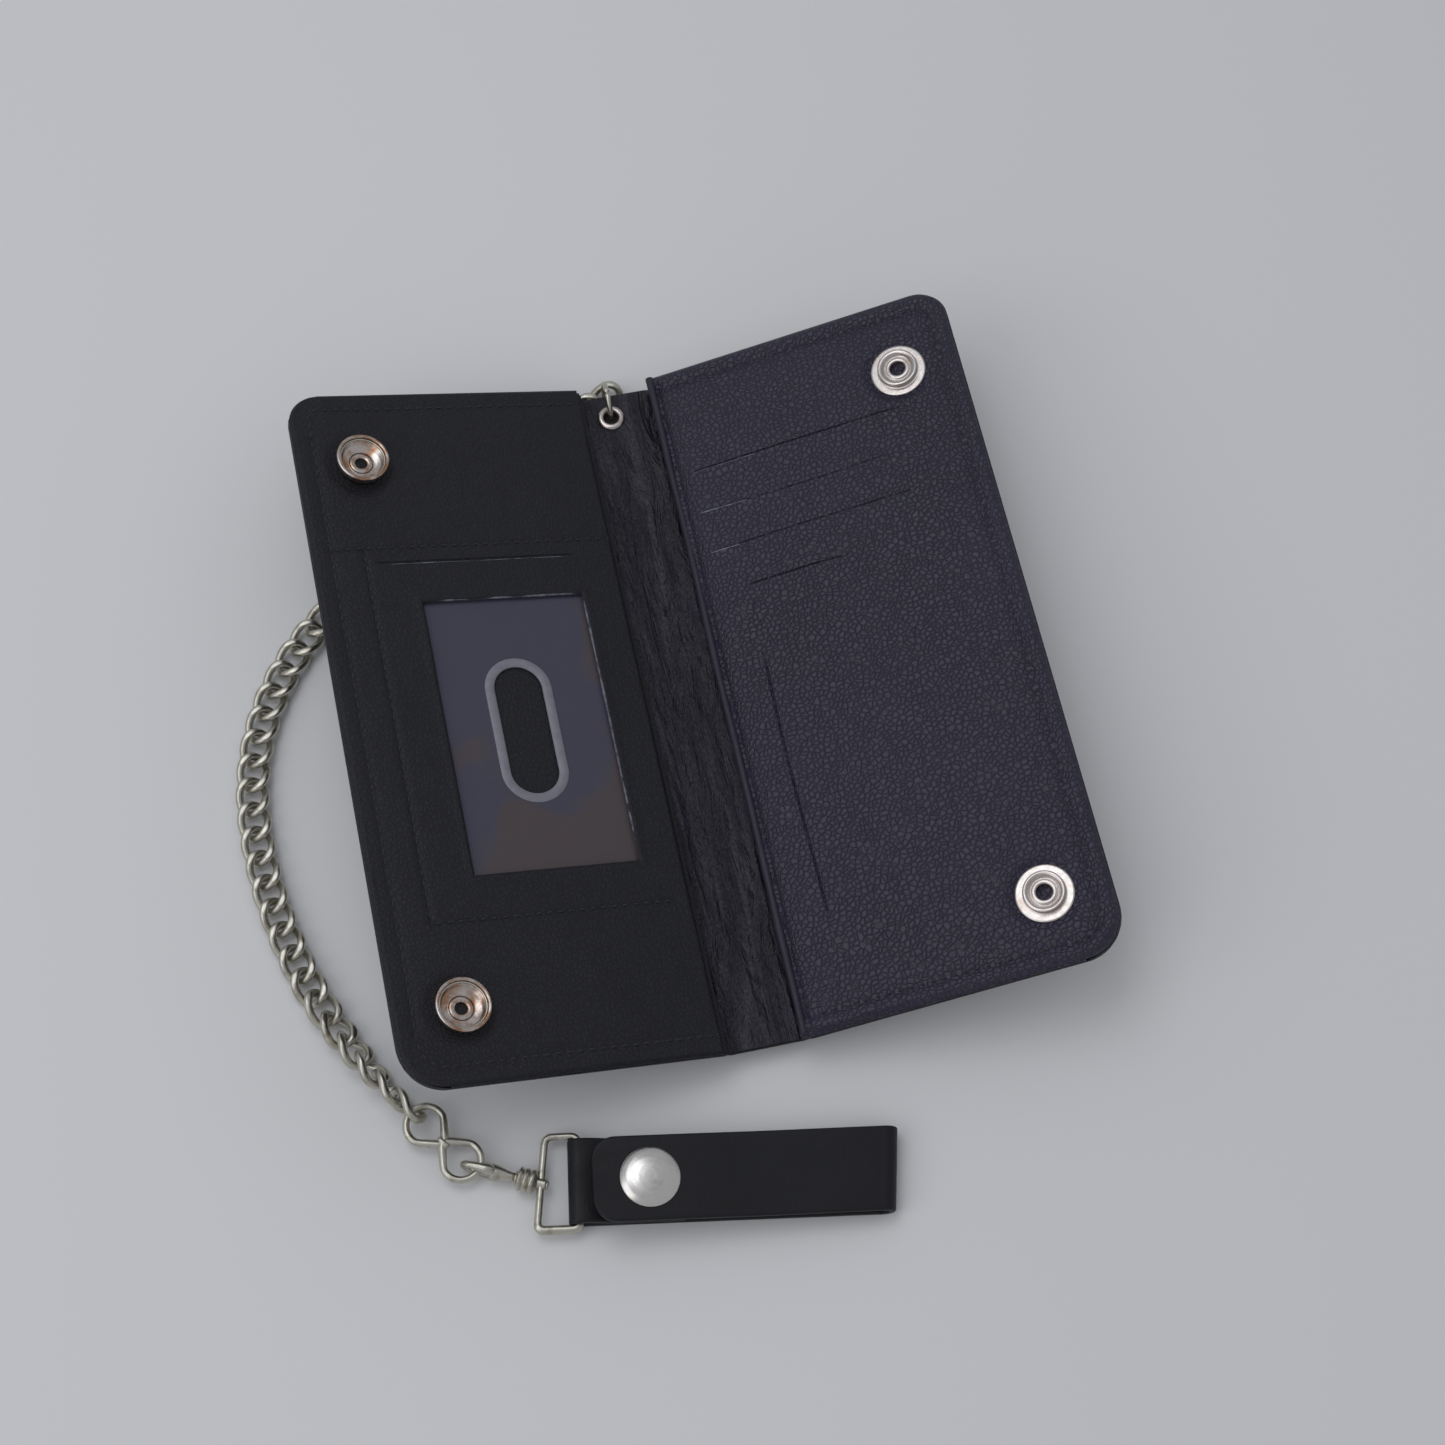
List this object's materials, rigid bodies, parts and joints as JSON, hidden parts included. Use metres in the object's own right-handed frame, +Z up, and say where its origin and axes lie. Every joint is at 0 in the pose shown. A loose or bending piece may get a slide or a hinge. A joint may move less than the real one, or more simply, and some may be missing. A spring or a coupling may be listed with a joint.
{
  "type": "chain wallet",
  "caption": "Long bifold leather wallet lying open, with snap closures, a window pocket, card slots, and a curb chain ending in a swivel and a snap belt strap.",
  "frame": {"origin": "centre of the resting face of the spine, half way along the wallet", "axes": "+Y along the spine towards the eyelet end, +Z up out of the open wallet, +X towards the card-slot cover"},
  "size_m": [0.2018, 0.2325, 0.0333],
  "materials": {
    "leather_outer": "black pebbled cowhide, satin",
    "leather_panel_left": "black pebbled cowhide, satin",
    "leather_panel_right": "black pebbled cowhide, satin",
    "leather_lining": "thin black lining leather, creased",
    "strap_leather": "smooth black strap leather, matte",
    "board": "fibreboard stiffener, hidden",
    "cloth": "black woven pocket lining",
    "vinyl": "clear flexible vinyl sheet with a frosted edge round the thumb slot",
    "hardware_plate": "antique nickel plate, lightly scuffed",
    "chain_metal": "nickel-plated steel, slightly dull",
    "spring_steel": "spring wire"
  },
  "bodies": {
    "spine": {"outer_shell_spine": "leather_outer", "lining_spine": "leather_lining", "eyelet_barrel": "hardware_plate", "eyelet_washer": "hardware_plate"},
    "left_cover": {"outer_shell_left": "leather_outer", "stiffener_left": "board", "lining_left": "leather_lining", "id_pocket_backing": "cloth", "id_window": "vinyl", "left_panel": "leather_panel_left", "snap_caps_left": "hardware_plate", "snap_sockets_left": "hardware_plate", "snap_springs_left": "spring_steel"},
    "right_cover": {"outer_shell_right": "leather_outer", "stiffener_right": "board", "lining_right": "leather_lining", "card_sleeve_1": "cloth", "card_sleeve_2": "cloth", "card_sleeve_3": "cloth", "card_sleeve_4": "cloth", "side_pocket_sleeve": "cloth", "right_panel": "leather_panel_right", "snap_posts_right": "hardware_plate", "snap_studs_right": "hardware_plate"},
    "jump_ring": {"jump_ring": "chain_metal"},
    "chain_01": {"chain_01": "chain_metal"},
    "chain_02": {"chain_02": "chain_metal"},
    "chain_03": {"chain_03": "chain_metal"},
    "chain_04": {"chain_04": "chain_metal"},
    "chain_05": {"chain_05": "chain_metal"},
    "chain_06": {"chain_06": "chain_metal"},
    "chain_07": {"chain_07": "chain_metal"},
    "chain_08": {"chain_08": "chain_metal"},
    "chain_09": {"chain_09": "chain_metal"},
    "chain_10": {"chain_10": "chain_metal"},
    "chain_11": {"chain_11": "chain_metal"},
    "chain_12": {"chain_12": "chain_metal"},
    "chain_13": {"chain_13": "chain_metal"},
    "figure_eight": {"figure_eight_link": "chain_metal"},
    "swivel_eye": {"swivel_eye": "chain_metal"},
    "strap_loop": {"strap_loop": "chain_metal", "swivel_barrel": "chain_metal"},
    "strap": {"strap_body": "strap_leather", "strap_fold": "strap_leather", "strap_snap_stud": "hardware_plate", "strap_snap_post": "hardware_plate"},
    "strap_flap": {"strap_flap": "strap_leather", "strap_snap_cap": "hardware_plate", "strap_snap_socket": "hardware_plate", "strap_snap_spring": "spring_steel"}
  },
  "joints": [
    {"name": "left_cover_fold", "type": "hinge", "parent": "spine", "child": "left_cover", "pos_m": [-0.0105, 0, 0.0065], "axis": [0, 1, 0], "range_deg": [0, 77.2]},
    {"name": "right_cover_fold", "type": "hinge", "parent": "spine", "child": "right_cover", "pos_m": [0.0105, 0, 0.0065], "axis": [0, -1, 0], "range_deg": [-15, 77.2]},
    {"name": "jump_ring_swing", "type": "hinge", "parent": "spine", "child": "jump_ring", "pos_m": [-0.0032, 0.0849, 0], "axis": [0, 0, 1], "range_deg": [-4, 4]},
    {"name": "chain_swing_01", "type": "hinge", "parent": "jump_ring", "child": "chain_01", "pos_m": [-0.0032, 0.0934, 0.0023], "axis": [0, 0, 1], "range_deg": [-1, 1]},
    {"name": "chain_swing_02", "type": "hinge", "parent": "chain_01", "child": "chain_02", "pos_m": [-0.01824, 0.08621, 0.0023], "axis": [0, 0, 1], "range_deg": [-9, 0.5]},
    {"name": "chain_swing_03", "type": "hinge", "parent": "chain_02", "child": "chain_03", "pos_m": [-0.03565, 0.07742, 0.0023], "axis": [0, 0, 1], "range_deg": [-9, 0.5]},
    {"name": "chain_swing_04", "type": "hinge", "parent": "chain_03", "child": "chain_04", "pos_m": [-0.05246, 0.06755, 0.0023], "axis": [0, 0, 1], "range_deg": [-9, 0.5]},
    {"name": "chain_swing_05", "type": "hinge", "parent": "chain_04", "child": "chain_05", "pos_m": [-0.06862, 0.05665, 0.0023], "axis": [0, 0, 1], "range_deg": [-9, 0.5]},
    {"name": "chain_swing_06", "type": "hinge", "parent": "chain_05", "child": "chain_06", "pos_m": [-0.08407, 0.04475, 0.0023], "axis": [0, 0, 1], "range_deg": [-9, 0.5]},
    {"name": "chain_swing_07", "type": "hinge", "parent": "chain_06", "child": "chain_07", "pos_m": [-0.09763, 0.03083, 0.0023], "axis": [0, 0, 1], "range_deg": [-9, 0.5]},
    {"name": "chain_swing_08", "type": "hinge", "parent": "chain_07", "child": "chain_08", "pos_m": [-0.10687, 0.01375, 0.0023], "axis": [0, 0, 1], "range_deg": [-9, 0.5]},
    {"name": "chain_swing_09", "type": "hinge", "parent": "chain_08", "child": "chain_09", "pos_m": [-0.11097, -0.00524, 0.0023], "axis": [0, 0, 1], "range_deg": [-9, 0.5]},
    {"name": "chain_swing_10", "type": "hinge", "parent": "chain_09", "child": "chain_10", "pos_m": [-0.11054, -0.0247, 0.0023], "axis": [0, 0, 1], "range_deg": [-9, 0.5]},
    {"name": "chain_swing_11", "type": "hinge", "parent": "chain_10", "child": "chain_11", "pos_m": [-0.10709, -0.04387, 0.0023], "axis": [0, 0, 1], "range_deg": [-9, 0.5]},
    {"name": "chain_swing_12", "type": "hinge", "parent": "chain_11", "child": "chain_12", "pos_m": [-0.10078, -0.0623, 0.0023], "axis": [0, 0, 1], "range_deg": [-9, 0.5]},
    {"name": "chain_swing_13", "type": "hinge", "parent": "chain_12", "child": "chain_13", "pos_m": [-0.09175, -0.07956, 0.0023], "axis": [0, 0, 1], "range_deg": [-9, 0.5]},
    {"name": "figure_eight_swing", "type": "hinge", "parent": "chain_13", "child": "figure_eight", "pos_m": [-0.08542, -0.08898, 0.0034], "axis": [0, 0, 1], "range_deg": [-6, 6]},
    {"name": "swivel_eye_swing", "type": "hinge", "parent": "figure_eight", "child": "swivel_eye", "pos_m": [-0.07241, -0.10549, 0.00308], "axis": [0, 0, 1], "range_deg": [-5, 5]},
    {"name": "swivel_spin", "type": "hinge", "parent": "swivel_eye", "child": "strap_loop", "pos_m": [-0.05891, -0.11186, 0.00308], "axis": [0.9026, -0.4305, 0], "continuous": true},
    {"name": "strap_pivot", "type": "hinge", "parent": "strap_loop", "child": "strap", "pos_m": [-0.05016, -0.11333, 0.00308], "axis": [0.165, 0.9863, 0], "range_deg": [-70, 70]},
    {"name": "strap_flap_open", "type": "hinge", "parent": "strap", "child": "strap_flap", "pos_m": [0.01941, -0.12497, 0.00615], "axis": [0.165, 0.9863, 0], "range_deg": [0, 100]}
  ]
}
